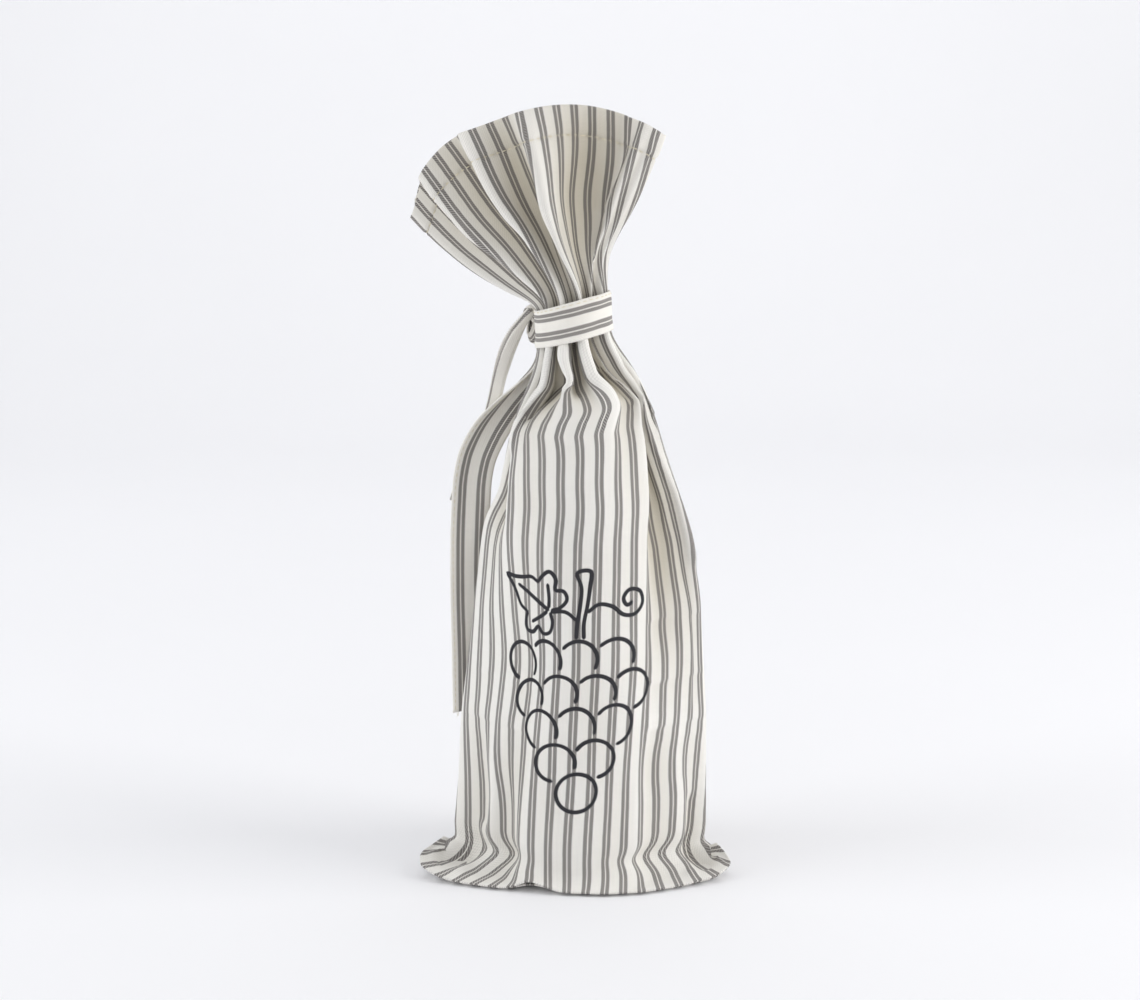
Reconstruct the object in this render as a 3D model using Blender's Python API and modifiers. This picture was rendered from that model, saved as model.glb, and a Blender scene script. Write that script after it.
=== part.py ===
"""A striped canvas wine bag, standing, tied at the neck, its mouth fanned out above the tie.

The frame: X to the right, Y away from the viewer, Z up, the floor at Z = 0, seen from the front.
Lengths in the tables are millimetres, and MM turns them into metres where a mesh is made.
The cloth is measured round the bag in stripe repeats: 0 at the left side seam, 21 at the right one
(the front panel lies between them) and 42 back at the left one (the back panel).
"""

import math
from collections import namedtuple

import bpy
import numpy as np

MM = 0.001
REPEAT = 8.8  # one repeat of the ticking stripe
PANEL_REPEATS = 21  # so each panel is 185 mm wide
ROUND_REPEATS = 2 * PANEL_REPEATS
CLOTH = 1.0  # thickness of the canvas
GAP = 0.3  # between pieces that touch
SEAM_HALF = 0.028  # repeats that each panel stops short of a side seam
SKIRT_TOP = 18.0  # height at which the flared lower edge meets the body
BEND = 12.0  # radius of the turn from the floor up into a wall
MOUTH = 356.0  # level of the mouth's edge, measured up the front
EDGE_SOFT = 1.4  # how far the outline's corners are rounded
TIP_R = 3.0  # radius of the outline at the side edges
HEM = 15.0  # width of the turned hem at the mouth
HEM_THICK = 1.7
EAR_LIFT = 0.5  # how much further apart the panels lie at the ears, as a share
EAR_SPREAD = 0.3  # repeats over which a corner of the bottom seam is rounded
LEVEL_REACH = 6.0  # how far up and down a corner in the outline's table is rounded
FAN_START = 272.0  # level above the tie where sunk crests begin to move in
FAN_RISE = 20.0  # and the height that they take to do it
HULL_STEPS = 1441  # points of an outline, an odd number so that one lies on the right edge
FINE = 40  # steps for each repeat when a fold is drawn
PHASES = 64  # steps of a fold when its length along the outline is worked out
MOST_TURN = 1.5  # steepest side of a fold, in radians from the outline
ROOM_SHARE = 0.42  # of the way to the other side that a fold may reach
TAPE_WIDE = 18.4
TAPE = 1.0  # thickness of the tie tape
BAND_EASE = 0.4  # that the band stands off the gathered cloth's flat facets
BAND_LEVEL = 248.8  # of the band's lower edge
BAND_STEPS = 44  # faces round the band
KNOT_RADII = (8.0, 4.6, 9.0)
KNOT_WRAP = 0.1  # how far the tape's turns stand out of the knot, as a share
KNOT_AT = (-16.4, 16.3, 256.0)
KNOT_TILT = 14  # degrees, with the band's slope
KNOT_FACING = 38  # degrees round the neck
EDGE_STRIP = 0.12  # width of the narrow strip of faces along a side seam, in repeats

# Levels of the rows of faces, measured up the front.
LEVELS = [30, 50, 80, 115, 150, 165, 178, 190, 202, 213, 222, 230, 238, 246, 254, 262, 270, 276,
          283, 290, 298, 307, 317, 328, 340, 342, 349, 356]

# The outline of the bag, seen from above, at levels measured up the front. Left and right are the
# side edges, front and back the reach of the rounded core between them. Crown is how far the middle
# of a row stands above the line between its side edges, drop how far its back hangs lower. Room is
# the deepest that a fold gets at that level.
Section = namedtuple(
    "Section",
    "up left_x left_y left_z right_x right_y right_z crown core_x core_r front back drop room",
)
SECTIONS = [
    Section(18, -57.5, -3, 18, 61.6, -7, 18, 0.1, 3.0, 38.0, -41.0, 46.0, 0, 6.0),
    Section(40, -55.4, 0, 40, 61.5, -6, 40, 0.1, 3.0, 38.0, -39.0, 45.5, 0, 7.0),
    Section(70, -53.8, 2, 70, 61.0, -5, 70, 0.1, 3.0, 38.0, -38.2, 45.5, 0, 8.0),
    Section(128, -47.2, 4, 128, 58.0, -4, 128, 0.1, 3.0, 37.5, -38.0, 46.0, 0, 9.0),
    Section(156, -43.5, 5, 156, 53.7, -3, 156, 0.1, 3.0, 37.0, -38.0, 46.0, 0, 9.0),
    Section(166, -41.6, 5, 166, 51.0, -3, 166, 0.1, 3.0, 36.0, -37.8, 44.5, 0, 9.0),
    Section(177, -35.4, 4, 177, 47.0, -2, 177, 0.1, 3.0, 34.0, -37.3, 42.5, 0, 9.0),
    Section(190, -33.3, 3, 189, 41.0, -1, 191, 0.1, 3.0, 31.5, -36.0, 39.0, 0, 8.0),
    Section(205, -30.5, 2, 203, 35.0, 0, 207, 0.1, 2.4, 27.5, -33.0, 34.0, 0, 8.0),
    Section(222, -25.5, 1, 219, 29.0, 0, 225, 0.1, 1.6, 22.0, -27.5, 27.5, 0, 7.0),
    Section(235, -19.6, 0, 231, 22.6, 0, 238, 0.1, 0.6, 17.5, -21.8, 21.8, 0, 4.5),
    Section(247, -15.6, 0, 243, 14.2, 0, 251, 0.1, -0.7, 14.0, -16.0, 16.0, 0, 2.2),
    Section(258, -15.4, 0, 254, 13.2, 0, 262, 0.1, -1.1, 13.8, -15.2, 15.2, 0, 2.2),
    Section(270, -15.6, 0, 265, 12.8, 0, 273, 0.5, -1.4, 13.8, -15.4, 15.2, 0, 2.2),
    Section(282, -23.4, 2, 272, 13.0, -2, 283, 4.5, -2.6, 13.0, -18.0, 15.4, 2, 5.0),
    Section(297, -33.8, 4, 279, 17.0, -4, 294, 9.7, -5.0, 13.0, -20.0, 15.0, 9, 8.0),
    Section(317, -47.6, 6, 288, 27.0, -6, 309, 17.7, -8.0, 14.0, -21.5, 15.0, 22, 9.0),
    Section(337, -61.6, 8, 297, 33.6, -8, 326, 23.9, -11.0, 15.0, -22.0, 15.5, 34, 9.0),
    Section(356, -74.8, 9, 304, 39.4, -8, 341, 29.6, -14.0, 16.0, -22.0, 16.0, 46, 9.0),
]

# The crests between the folds, in repeats round the bag, at five levels. Sunk is how far a crest
# lies inside the outline in the fan. The first one runs along the left edge, the sixth along the right.
Crest = namedtuple("Crest", "floor belly chest tie mouth sunk")
CREST_LEVELS = (18, 70, 165, 258, 356)
CRESTS = [
    Crest(1.5, 2.0, 2.8, 2.2, 1.7, 0),
    Crest(4.6, 5.4, 6.3, 6.0, 5.5, 0),
    Crest(8.0, 8.6, 9.0, 8.8, 8.5, 0),
    Crest(11.6, 11.6, 11.4, 11.7, 12.0, 0),
    Crest(15.4, 15.2, 15.0, 15.2, 15.6, 6),
    Crest(19.6, 19.1, 18.5, 18.8, 19.1, 0),
    Crest(23.4, 23.0, 22.6, 22.9, 23.2, 0),
    Crest(27.0, 26.9, 26.8, 26.9, 27.1, 0),
    Crest(31.2, 31.3, 31.4, 31.2, 31.0, 0),
    Crest(35.2, 35.3, 35.5, 35.5, 35.4, 0),
    Crest(39.2, 39.5, 39.9, 39.6, 39.4, 0),
]

# How much of the spare cloth each fold takes up, from its crest in the table above to the next one.
Fold = namedtuple("Fold", "floor belly chest shoulder tie fan mouth")
FOLD_LEVELS = (18, 70, 165, 215, 250, 300, 356)
FOLDS = [
    Fold(0.6, 0.5, 0.3, 1.0, 1.0, 1.0, 0.9),
    Fold(0.5, 0.4, 0.1, 0.7, 1.0, 1.0, 0.8),
    Fold(0.3, 0.2, 0.1, 0.1, 0.9, 1.0, 0.6),
    Fold(0.6, 0.5, 0.4, 0.8, 1.0, 1.0, 0.9),
    Fold(0.8, 1.0, 1.0, 1.0, 1.0, 0.9, 0.8),
    Fold(0.8, 0.9, 1.0, 1.0, 1.0, 1.0, 0.9),
    Fold(1.0, 1.0, 1.0, 1.0, 1.0, 1.0, 1.0),
    Fold(0.8, 0.9, 1.0, 1.0, 1.0, 1.0, 0.8),
    Fold(0.9, 1.0, 0.9, 1.0, 1.0, 1.0, 1.0),
    Fold(1.0, 0.9, 1.0, 1.0, 1.0, 1.0, 0.9),
    Fold(0.7, 0.9, 1.0, 1.0, 1.0, 1.0, 0.9),
]
FRONT_FOLDS = 5  # of them, from the left edge to the right one

# The bottom seam, from the left side seam to the right one. Its ears lift and curl back.
Edge = namedtuple("Edge", "repeats x y z")
BOTTOM_SEAM = [
    Edge(0.0, -62.0, 5.0, 9.0),
    Edge(0.6, -67.5, -3.0, 7.5),
    Edge(1.5, -73.0, -13.0, 7.0),
    Edge(2.4, -72.5, -23.5, 4.5),
    Edge(3.4, -64.5, -29.5, 1.6),
    Edge(4.5, -55.5, -33.0, 0.2),
    Edge(6.5, -38.5, -39.0, 0.0),
    Edge(8.5, -21.5, -43.0, 0.0),
    Edge(10.5, -4.3, -46.5, 0.0),
    Edge(12.5, 12.9, -48.0, 0.0),
    Edge(14.5, 30.0, -45.5, 0.0),
    Edge(16.5, 47.5, -38.0, 0.0),
    Edge(18.5, 65.0, -29.5, 1.4),
    Edge(19.6, 73.0, -21.5, 4.7),
    Edge(20.4, 69.5, -10.5, 7.0),
    Edge(21.0, 66.0, -3.0, 8.5),
]

# The tie's free ends, from the knot down: the middle of the tape, its width, and the direction of
# its width in plan, in degrees (0 is across the view).
Tape = namedtuple("Tape", "x y z wide turn")
WIDE_TAIL = [
    Tape(-17.0, 17.2, 247.6, 10.0, 34),
    Tape(-18.0, 21.2, 236.0, 14.0, 30),
    Tape(-23.6, 21.6, 223.0, 17.0, 24),
    Tape(-32.4, 21.0, 211.0, 18.4, 20),
    Tape(-41.0, 19.4, 199.0, 18.4, 16),
    Tape(-47.0, 18.0, 186.0, 18.4, 12),
    Tape(-49.6, 17.0, 171.0, 18.4, 12),
    Tape(-50.3, 16.6, 150.0, 18.4, 14),
    Tape(-50.4, 16.8, 125.0, 18.4, 14),
    Tape(-49.8, 17.2, 98.0, 18.4, 12),
    Tape(-49.6, 17.4, 70.0, 18.4, 10),
]
THIN_TAIL = [
    Tape(-21.9, 8.6, 263.0, 6.0, 60),
    Tape(-26.4, 9.4, 257.0, 7.0, 50),
    Tape(-32.4, 11.0, 248.0, 6.5, 20),
    Tape(-37.4, 14.4, 236.5, 6.0, 0),
    Tape(-41.0, 19.4, 224.0, 6.0, -20),
    Tape(-45.6, 24.4, 212.0, 6.5, -10),
    Tape(-52.0, 25.6, 198.0, 6.5, 0),
    Tape(-57.0, 24.6, 184.0, 6.5, 10),
    Tape(-59.0, 23.4, 170.0, 6.0, 20),
]
THIN_TAIL_THICK = 2.2  # it is folded lengthwise
TAIL_STEPS = 3  # slices between two rows of a tail's table


def clear_scene():
    for old in list(bpy.data.objects):
        bpy.data.objects.remove(old, do_unlink=True)


def smooth_column(at, levels, values, reach):
    """The table's values between its rows, with the corners between straight stretches rounded."""
    spread = np.linspace(-reach, reach, 9)
    return float(np.mean(np.interp(at + spread, levels, values)))


def section_at(up):
    levels = [row.up for row in SECTIONS]
    to_end = min(MOUTH - up, up - SKIRT_TOP)
    reach = min(LEVEL_REACH, 0.45 * to_end + 0.01)
    columns = zip(*SECTIONS)
    return Section(*(smooth_column(up, levels, column, reach) for column in columns))


def outline(row):
    """A level's outline from its left edge round the front and back again: x, y, z, outward x and y,
    and the length up to each point."""
    angle = np.linspace(math.pi, 3 * math.pi, HULL_STEPS)
    out_x = np.cos(angle)
    out_y = np.sin(angle)
    circles = [
        (row.core_x, row.front + row.core_r, row.core_r),
        (row.core_x, row.back - row.core_r, row.core_r),
        (row.left_x + TIP_R, row.left_y, TIP_R),
        (row.right_x - TIP_R, row.right_y, TIP_R),
    ]
    reach = np.array([x * out_x + y * out_y + radius for x, y, radius in circles])
    turning = np.array([y * out_x - x * out_y for x, y, radius in circles])
    furthest = reach.max(axis=0)
    share = np.exp((reach - furthest) / EDGE_SOFT)
    total = share.sum(axis=0)
    support = furthest + EDGE_SOFT * np.log(total)
    slope = (share * turning).sum(axis=0) / total
    x = support * out_x - slope * out_y
    y = support * out_y + slope * out_x
    across = np.clip((x - row.left_x) / (row.right_x - row.left_x), 0, 1)
    half = 0.5 * math.hypot(row.right_x - row.left_x, row.right_z - row.left_z)
    tilt = math.atan2(row.right_z - row.left_z, row.right_x - row.left_x)
    radius = (half**2 + row.crown**2) / (2 * row.crown)
    arch = np.sqrt(radius**2 - (half * (2 * across - 1)) ** 2) - (radius - row.crown)
    middle_y = row.left_y + across * (row.right_y - row.left_y)
    behind = np.clip((y - middle_y) / (row.back - middle_y), 0, 1)
    behind = behind * behind * (3 - 2 * behind) * (1 - (2 * across - 1) ** 2) ** 2
    z = row.left_z + across * (row.right_z - row.left_z) + math.cos(tilt) * arch - row.drop * behind
    x = x - math.sin(tilt) * arch
    steps = np.sqrt(np.diff(x) ** 2 + np.diff(y) ** 2 + np.diff(z) ** 2)
    return x, y, z, out_x, out_y, np.concatenate([[0], np.cumsum(steps)])


def fold_room(x, y):
    """How deep a fold may reach in from each point of an outline, so that it stays off the other side."""
    right = len(x) // 2
    behind = np.interp(x[:right], x[:right:-1], y[:right:-1])
    before = np.interp(x[right:], x[:right], y[:right])
    apart = np.concatenate([behind - y[:right], y[right:] - before])
    return np.maximum(ROOM_SHARE * apart - CLOTH, 0.2)


def advance_of(turn):
    """How far along the outline a fold gets for each unit of its cloth."""
    phase = (np.arange(PHASES) + 0.5) * math.pi / PHASES
    return np.cos(np.multiply.outer(turn, np.sin(phase))).mean(axis=-1)


def fold_turns(lengths, weights, room):
    """How steep the folds are, so that their cloth just fills the room along the outline."""
    low = 0.0
    high = 3.0
    for _ in range(24):
        middle = 0.5 * (low + high)
        turns = np.minimum(middle * weights, MOST_TURN)
        if (lengths * advance_of(turns)).sum() > room:
            low = middle
        else:
            high = middle
    return np.minimum(low * weights, MOST_TURN)


def folded_row(up, repeats):
    """The cloth's middle surface at one level, at the given repeats round the bag: rows of x, y, z."""
    row = section_at(up)
    x, y, z, out_x, out_y, along = outline(row)
    crests = [smooth_column(up, CREST_LEVELS, crest[:-1], LEVEL_REACH) for crest in CRESTS]
    crests = np.array(crests + [crests[0] + ROUND_REPEATS])
    weights = np.array([smooth_column(up, FOLD_LEVELS, fold, LEVEL_REACH) for fold in FOLDS])
    lengths = np.diff(crests) * REPEAT
    right = HULL_STEPS // 2
    front = slice(0, FRONT_FOLDS)
    back = slice(FRONT_FOLDS, None)
    turns = np.concatenate(
        [
            fold_turns(lengths[front], weights[front], along[right]),
            fold_turns(lengths[back], weights[back], along[-1] - along[right]),
        ]
    )
    fine = np.linspace(crests[0], crests[-1], ROUND_REPEATS * FINE + 1)
    cell = np.clip(np.searchsorted(crests, fine, side="right") - 1, 0, len(turns) - 1)
    within = (fine - crests[cell]) / (crests[cell + 1] - crests[cell])
    heading = turns[cell] * np.sin(2 * math.pi * within)
    step = REPEAT * (fine[1] - fine[0])
    advance = np.concatenate([[0], np.cumsum(np.cos(heading[:-1]) * step)])
    depth = np.concatenate([[0], np.cumsum(np.sin(heading[:-1]) * step)])
    split = np.searchsorted(fine, crests[FRONT_FOLDS])
    front_scale = along[right] / advance[split]
    back_scale = (along[-1] - along[right]) / (advance[-1] - advance[split])
    place = np.where(
        fine < crests[FRONT_FOLDS],
        advance * front_scale,
        along[right] + (advance - advance[split]) * back_scale,
    )
    for index in range(len(turns)):
        inside = cell == index
        deepest = depth[inside].max()
        if deepest > row.room:
            depth[inside] *= row.room / deepest
    sunk = np.array([crest.sunk for crest in CRESTS] + [CRESTS[0].sunk])
    ease = 0.5 - 0.5 * np.cos(math.pi * within)
    fan = np.clip((up - FAN_START) / FAN_RISE, 0, 1)
    depth = depth + fan * (sunk[cell] + (sunk[cell + 1] - sunk[cell]) * ease)
    most = np.interp(place, along, fold_room(x, y))
    depth = depth / (1 + (depth / most) ** 3) ** (1 / 3)
    wrapped = np.mod(np.asarray(repeats) - crests[0], ROUND_REPEATS) + crests[0]
    at = np.interp(wrapped, fine, place)
    inward = np.interp(wrapped, fine, depth)
    return np.stack(
        [
            np.interp(at, along, x) - inward * np.interp(at, along, out_x),
            np.interp(at, along, y) - inward * np.interp(at, along, out_y),
            np.interp(at, along, z),
        ],
        axis=1,
    )


def bottom_seam(repeats):
    """Points of the bottom seam at these repeats from the left side seam."""
    columns = list(zip(*BOTTOM_SEAM))
    spread = np.linspace(-EAR_SPREAD, EAR_SPREAD, 5)
    inside = np.clip(np.add.outer(repeats, spread), 0, PANEL_REPEATS)
    return np.stack([np.interp(inside, columns[0], c).mean(axis=1) for c in columns[1:]], axis=1)


def skirt_row(start, end, share):
    """A row of the stretch that runs level from the bottom seam and turns up into the wall."""
    reach = end[:, :2] - start[:, :2]
    distance = np.linalg.norm(reach, axis=1)
    rise = end[:, 2]
    radius = np.minimum(np.minimum(BEND, distance), rise)
    level = distance - radius
    arc = radius * math.pi / 2
    at = share * (level + arc + rise - radius)
    angle = np.clip((at - level) / radius, 0, math.pi / 2)
    run = np.minimum(at, level) + radius * np.sin(angle)
    height = radius * (1 - np.cos(angle)) + np.maximum(at - level - arc, 0)
    plan = start[:, :2] + reach * (run / distance)[:, None]
    return np.column_stack([plan, height + start[:, 2] * (1 - share) ** 2])


def panel_rows(repeats, seam_repeats, skirt_shares, lift):
    """A panel's middle surface, from the bottom seam to the mouth. Lift lays it over the other panel."""
    start = bottom_seam(seam_repeats)
    lift = lift * (1 + EAR_LIFT * (2 * seam_repeats / PANEL_REPEATS - 1) ** 4)
    end = folded_row(SKIRT_TOP, repeats)
    rows = []
    for share in skirt_shares:
        row = skirt_row(start, end, share)
        row[:, 2] += CLOTH / 2 + lift * (1 - share**3)
        rows.append(row)
    for up in LEVELS:
        row = folded_row(up, repeats)
        row[:, 2] += CLOTH / 2
        rows.append(row)
    return np.array(rows)


def material(name, colour, roughness):
    made = bpy.data.materials.new(name)
    made.use_nodes = True
    shader = made.node_tree.nodes["Principled BSDF"]
    shader.inputs["Base Color"].default_value = (*colour, 1)
    shader.inputs["Roughness"].default_value = roughness
    shader.inputs["Metallic"].default_value = 0
    made.diffuse_color = (*colour, 1)
    return made


def add_object(name, points, faces, look, collection):
    mesh = bpy.data.meshes.new(name)
    mesh.from_pydata([tuple(point) for point in np.asarray(points) * MM], [], faces)
    mesh.validate()
    mesh.shade_smooth()
    mesh.materials.append(look)
    made = bpy.data.objects.new(name, mesh)
    collection.objects.link(made)
    return made


def grid_faces(rows, columns, round_and_round=False):
    """Quads between neighbouring points of a grid, closed into a ring where asked."""
    last = columns if round_and_round else columns - 1
    faces = []
    for row in range(rows - 1):
        for column in range(last):
            following = (column + 1) % columns
            low = row * columns
            high = low + columns
            faces.append((low + column, low + following, high + following, high + column))
    return faces


def thicken(cloth, thickness):
    solidify = cloth.modifiers.new("thickness", "SOLIDIFY")
    solidify.thickness = thickness * MM
    solidify.offset = 0
    return solidify


def panel_columns():
    """Places across a panel, two to a repeat, with a narrow strip along each side seam."""
    inner = np.arange(0.5, PANEL_REPEATS, 0.5)
    first = [SEAM_HALF, EDGE_STRIP]
    last = [PANEL_REPEATS - EDGE_STRIP, PANEL_REPEATS - SEAM_HALF]
    return np.concatenate([first, inner, last])


def add_panel(name, rows, look, collection):
    """A panel of cloth through these rows of points, its turned hem thicker than the rest."""
    count, width, _ = rows.shape
    panel = add_object(name, rows.reshape(-1, 3), grid_faces(count, width), look, collection)
    hem = panel.vertex_groups.new(name="hem")
    hem_rows = sum(up > MOUTH - HEM for up in LEVELS)
    single = (count - hem_rows) * width
    hem.add(list(range(single)), CLOTH / HEM_THICK, "REPLACE")
    hem.add(list(range(single, count * width)), 1.0, "REPLACE")
    thicken(panel, HEM_THICK).vertex_group = hem.name


def make_front_panel(look, collection):
    across = panel_columns()
    rows = panel_rows(across, across, (0, 0.35, 0.7, 1), CLOTH + GAP)
    add_panel("front_panel", rows, look, collection)


def make_back_panel(look, collection):
    across = PANEL_REPEATS + panel_columns()
    shares = (0, 0.3, 0.55, 0.7, 0.8, 0.88, 0.94, 1)
    rows = panel_rows(across, ROUND_REPEATS - across, shares, 0)
    add_panel("back_panel", rows, look, collection)


def make_tie_band(look, collection):
    """The tape's one turn round the gathered neck."""
    rows = []
    for share in (0, 0.33, 0.67, 1):
        up = BAND_LEVEL + TAPE_WIDE * share
        x, y, z, out_x, out_y, along = outline(section_at(up))
        at = np.linspace(0, along[-1], BAND_STEPS, endpoint=False)
        stand_off = CLOTH / 2 + GAP + TAPE / 2 + BAND_EASE
        ring = [
            np.interp(at, along, x) + stand_off * np.interp(at, along, out_x),
            np.interp(at, along, y) + stand_off * np.interp(at, along, out_y),
            np.interp(at, along, z),
        ]
        rows.append(np.stack(ring, axis=1))
    points = np.concatenate(rows)
    faces = grid_faces(len(rows), BAND_STEPS, True)
    band = add_object("tie_band", points, faces, look, collection)
    thicken(band, TAPE)


def make_tie_knot(look, collection):
    """A plain knot against the band at the back left."""
    bpy.ops.mesh.primitive_uv_sphere_add(segments=16, ring_count=10, radius=1)
    knot = bpy.context.object
    knot.name = "tie_knot"
    knot.data.name = "tie_knot"
    for corner in knot.data.vertices:
        x, y, z = corner.co
        wrap = 1 + KNOT_WRAP * math.cos(3 * math.atan2(z, x) + 2 * y)
        wide, deep, high = KNOT_RADII
        corner.co = (wide * x * wrap * MM, deep * y * MM, high * z * wrap * MM)
    knot.rotation_euler = (0, math.radians(KNOT_TILT), math.radians(KNOT_FACING))
    knot.location = [value * MM for value in KNOT_AT]
    knot.data.materials.append(look)
    for holder in list(knot.users_collection):
        holder.objects.unlink(knot)
    collection.objects.link(knot)


def tape_frames(table):
    """The middle, width and half side direction of a tail at slices along it."""
    at = np.linspace(0, len(table) - 1, (len(table) - 1) * TAIL_STEPS + 1)
    numbers = range(len(table))
    columns = []
    for column in zip(*table):
        reaches = [min(0.5, place, numbers[-1] - place) for place in at]
        columns.append([smooth_column(a, numbers, column, reach) for a, reach in zip(at, reaches)])
    x, y, z, wide, turn = (np.array(column) for column in columns)
    middle = np.stack([x, y, z], axis=1)
    run = np.gradient(middle, axis=0)
    run /= np.linalg.norm(run, axis=1)[:, None]
    facing = np.radians(turn)
    side = np.stack([np.cos(facing), np.sin(facing), 0 * facing], axis=1)
    side -= (side * run).sum(axis=1)[:, None] * run
    side /= np.linalg.norm(side, axis=1)[:, None]
    return middle, side * wide[:, None] / 2


def make_tail(name, table, thickness, look, collection):
    middle, side = tape_frames(table)
    shares = (-1, -0.33, 0.33, 1)
    points = np.stack([middle + side * share for share in shares], axis=1)
    faces = grid_faces(len(middle), len(shares))
    tail = add_object(name, points.reshape(-1, 3), faces, look, collection)
    thicken(tail, thickness)


def main():
    clear_scene()
    collection = bpy.data.collections.new("canvas_wine_bag")
    bpy.context.scene.collection.children.link(collection)
    canvas = material("striped_canvas", (0.70, 0.69, 0.66), 0.92)
    tape = material("striped_tape", (0.58, 0.55, 0.48), 0.9)
    make_front_panel(canvas, collection)
    make_back_panel(canvas, collection)
    make_tie_band(tape, collection)
    make_tie_knot(tape, collection)
    make_tail("tie_tail_wide", WIDE_TAIL, TAPE, tape, collection)
    make_tail("tie_tail_thin", THIN_TAIL, THIN_TAIL_THICK, tape, collection)


main()
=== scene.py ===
# Canvas wine bag tied at the neck: cloth, tape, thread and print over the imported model.
# Tables are in millimetres. Cloth is counted round the bag in stripe repeats: 0 is the left side
# seam, 21 the right one and 42 the left one again, so the front panel is 0 to 21.

import math

import bpy
import numpy as np
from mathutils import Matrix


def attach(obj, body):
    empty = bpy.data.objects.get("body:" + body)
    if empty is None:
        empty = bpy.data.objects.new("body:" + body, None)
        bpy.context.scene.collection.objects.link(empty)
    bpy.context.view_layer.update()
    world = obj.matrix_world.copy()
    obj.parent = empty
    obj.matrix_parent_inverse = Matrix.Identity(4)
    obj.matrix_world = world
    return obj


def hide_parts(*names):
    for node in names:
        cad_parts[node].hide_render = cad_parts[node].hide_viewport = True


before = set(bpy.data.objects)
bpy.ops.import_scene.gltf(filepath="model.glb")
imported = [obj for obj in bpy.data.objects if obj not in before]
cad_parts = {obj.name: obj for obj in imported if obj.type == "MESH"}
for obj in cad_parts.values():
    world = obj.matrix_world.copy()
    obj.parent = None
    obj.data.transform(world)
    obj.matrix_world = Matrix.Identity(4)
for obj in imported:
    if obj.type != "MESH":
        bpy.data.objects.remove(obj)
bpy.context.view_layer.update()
print("frame loaded:", sorted(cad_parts))

mm = 0.001
uvSpan = 400.0  # millimetres of cloth that one unit of the UV map stands for
stripeRepeat = 8.8  # from one double stripe to the next

# Small helpers


def setInputs(tree, node, inputs):
    for name, value in inputs.items():
        if isinstance(value, bpy.types.NodeSocket):
            tree.links.new(value, node.inputs[name])
        else:
            node.inputs[name].default_value = value


def addNode(tree, kind, inputs=None, **settings):
    made = tree.nodes.new(kind)
    for name, value in settings.items():
        setattr(made, name, value)
    setInputs(tree, made, inputs or {})
    return made


def addNoise(tree, place, scale, detail):
    made = addNode(tree, "ShaderNodeTexNoise", {"Vector": place, "Scale": scale, "Detail": detail})
    return made.outputs["Fac"]


def mixColour(tree, share, first, second):
    return addNode(tree, "ShaderNodeMix", {0: share, 6: first, 7: second}, data_type="RGBA").outputs[2]


def colour(red, green, blue):  # screen values from 0 to 255, as linear light
    linear = []
    for value in (red, green, blue):
        share = value / 255
        linear.append(share / 12.92 if share <= 0.04045 else ((share + 0.055) / 1.055) ** 2.4)
    return (*linear, 1.0)


def newMaterial(name):
    made = bpy.data.materials.new(name)
    made.use_nodes = True
    return made, made.node_tree, made.node_tree.nodes["Principled BSDF"]


def addObject(name, data):
    made = bpy.data.objects.new(name, data)
    bpy.context.scene.collection.objects.link(made)
    return made


def addMesh(name, points, faces, look, uv=None):  # points and uv in millimetres
    mesh = bpy.data.meshes.new(name)
    mesh.from_pydata((np.asarray(points) * mm).tolist(), [], faces)
    if uv is not None:
        layer = mesh.uv_layers.new(name="cloth")
        layer.data.foreach_set("uv", (np.asarray(uv)[np.ravel(faces)] / uvSpan).ravel())
    mesh.shade_smooth()
    mesh.materials.append(look)
    return addObject(name, mesh)


def gridFaces(rows, columns, first=0, closed=False):  # between points numbered row by row
    number = first + np.arange(rows * columns).reshape(rows, columns)
    if closed:
        number = np.column_stack([number, number[:, 0]])
    corners = (number[:-1, :-1], number[:-1, 1:], number[1:, 1:], number[1:, :-1])
    return np.stack(corners, axis=-1).reshape(-1, 4).tolist()


def addGrid(name, grid, uv, look):  # a sheet from rows and columns of points
    return addMesh(name, grid.reshape(-1, 3), gridFaces(*grid.shape[:2]), look, uv.reshape(-1, 2))


def thicken(sheet, thick, offset=0.0):  # 0 grows it to both sides alike
    made = sheet.modifiers.new("thickness", "SOLIDIFY")
    made.thickness = thick * mm
    made.offset = offset
    return made


def standFor(piece, node):  # takes the place of a solid on the one body
    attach(piece, "root")
    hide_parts(node)


def hump(away, reach):  # 1 in the middle, falling off softly to both sides
    return np.exp(-((away / reach) ** 2))


def smoothStep(share):  # from 0 to 1 with both ends soft
    return share * share * (3 - 2 * share)


def addedUp(steps):  # running totals, from 0
    return np.concatenate([[0], np.cumsum(steps)])


def runLengths(points):  # how far along a line each of its points lies
    return addedUp(np.linalg.norm(np.diff(points, axis=0), axis=1))


def between(at, marks, points):  # a line's points where its marks reach the given values
    return np.stack([np.interp(at, marks, column) for column in points.T], axis=-1)


def averaged(at, reach, marks, points, count=9):  # the same, evened out over a short way round it
    spots = np.asarray(at)[..., None] + np.linspace(-reach, reach, count, axis=-1)
    return np.stack([np.interp(spots, marks, column).mean(axis=-1) for column in points.T], axis=-1)


def unit(vectors):
    return vectors / np.maximum(np.linalg.norm(vectors, axis=-1, keepdims=True), 1e-9)


def gridNormals(grid):
    return unit(np.cross(np.gradient(grid, axis=1), np.gradient(grid, axis=0)))


# Striped cloth

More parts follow.
